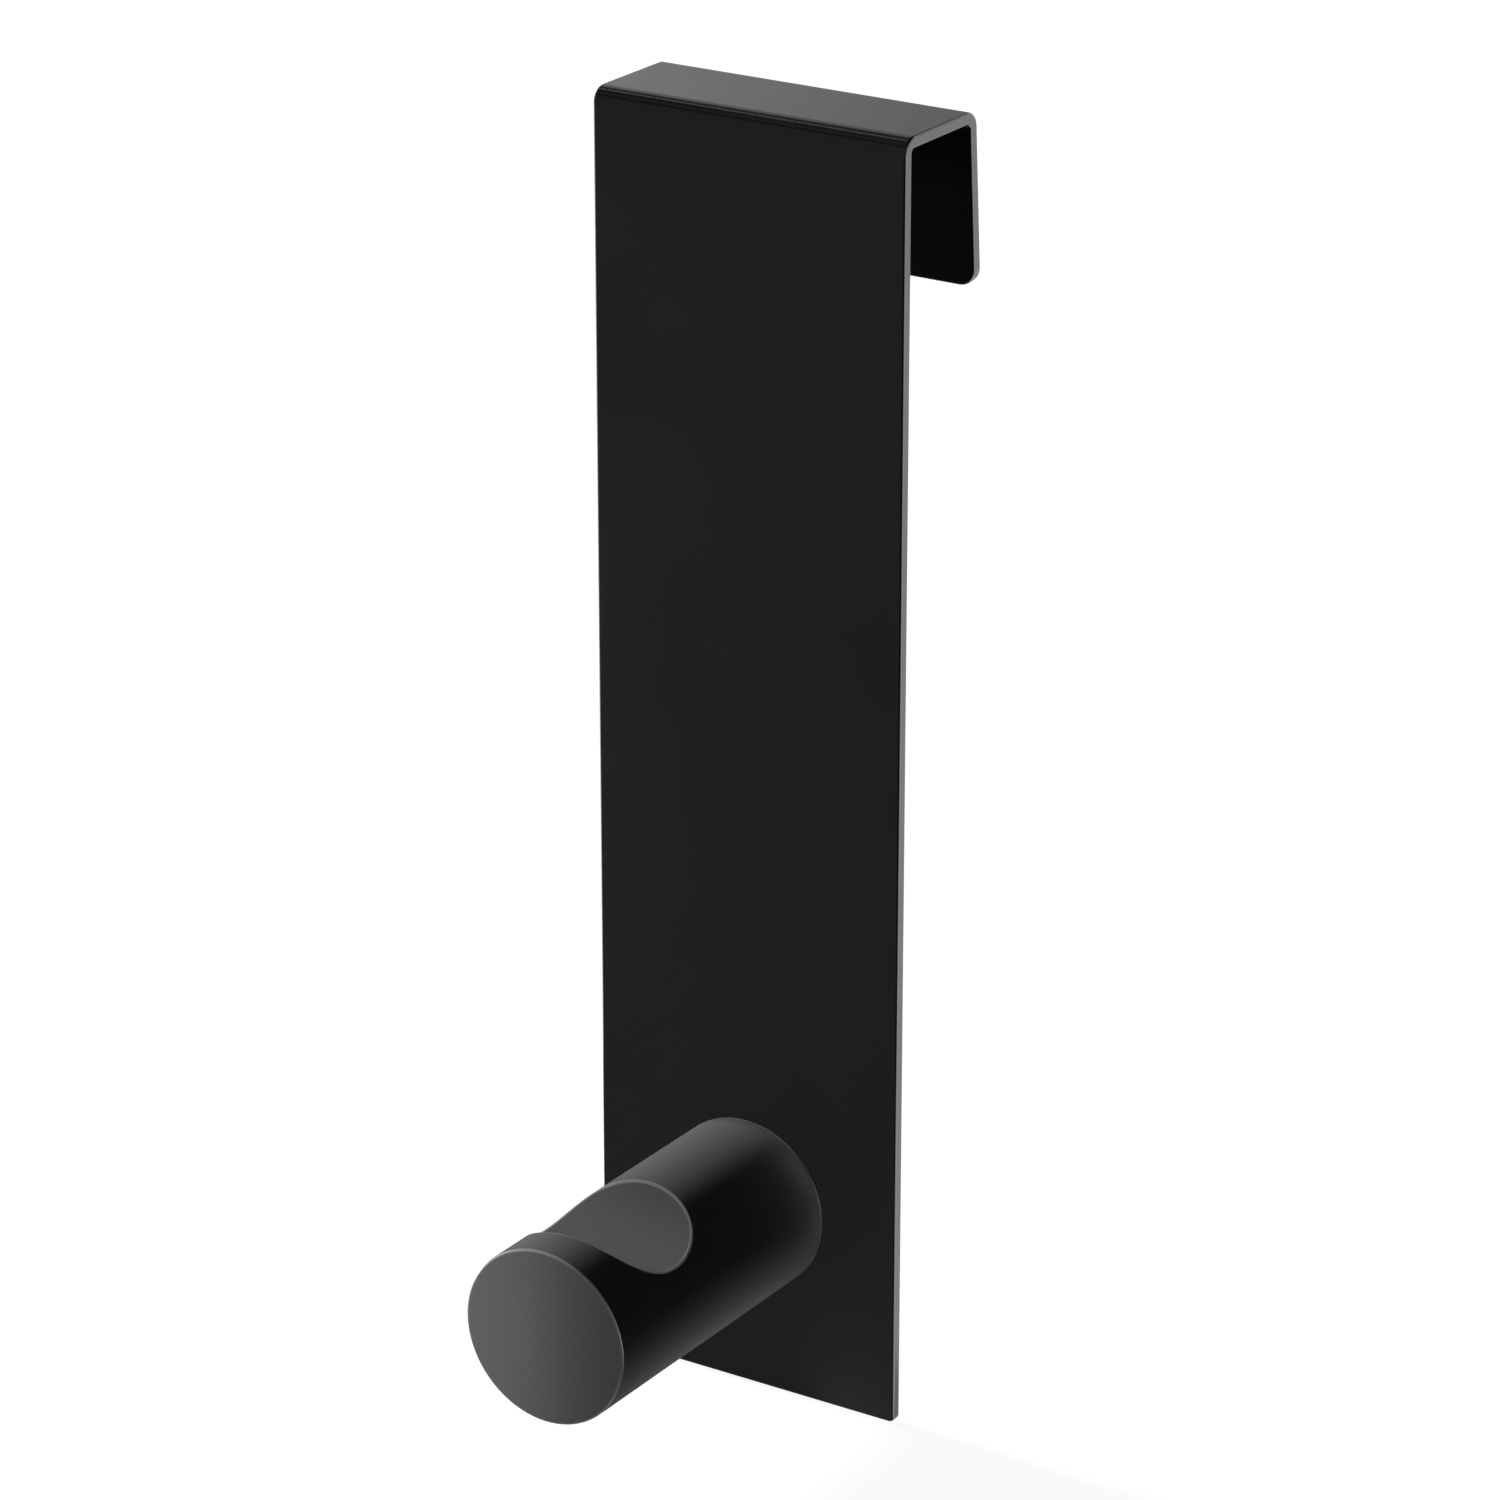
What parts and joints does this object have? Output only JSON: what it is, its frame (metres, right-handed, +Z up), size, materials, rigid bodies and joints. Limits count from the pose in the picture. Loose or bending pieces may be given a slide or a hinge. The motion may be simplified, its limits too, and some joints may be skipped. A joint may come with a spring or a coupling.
{
  "type": "shower screen hook",
  "caption": "Black hook that folds over the top edge of a glass shower screen: long flat strip with a short rear lip, and a round peg notched across its top to hold a hanger or towel loop.",
  "frame": {"origin": "centre of the underside of the bridge, the face that sits on the top edge of the glass", "axes": "+X across the strip, +Y from the front leaf towards the rear lip, so the peg points along -Y, and +Z up"},
  "size_m": [0.04, 0.0571, 0.152],
  "materials": {
    "strip_coat": "satin black powder coat",
    "peg_coat": "matt black powder coat",
    "screw_steel": "black oxide"
  },
  "bodies": {
    "root": {"bracket": "strip_coat", "peg": "peg_coat", "peg_screw": "screw_steel"}
  },
  "joints": []
}
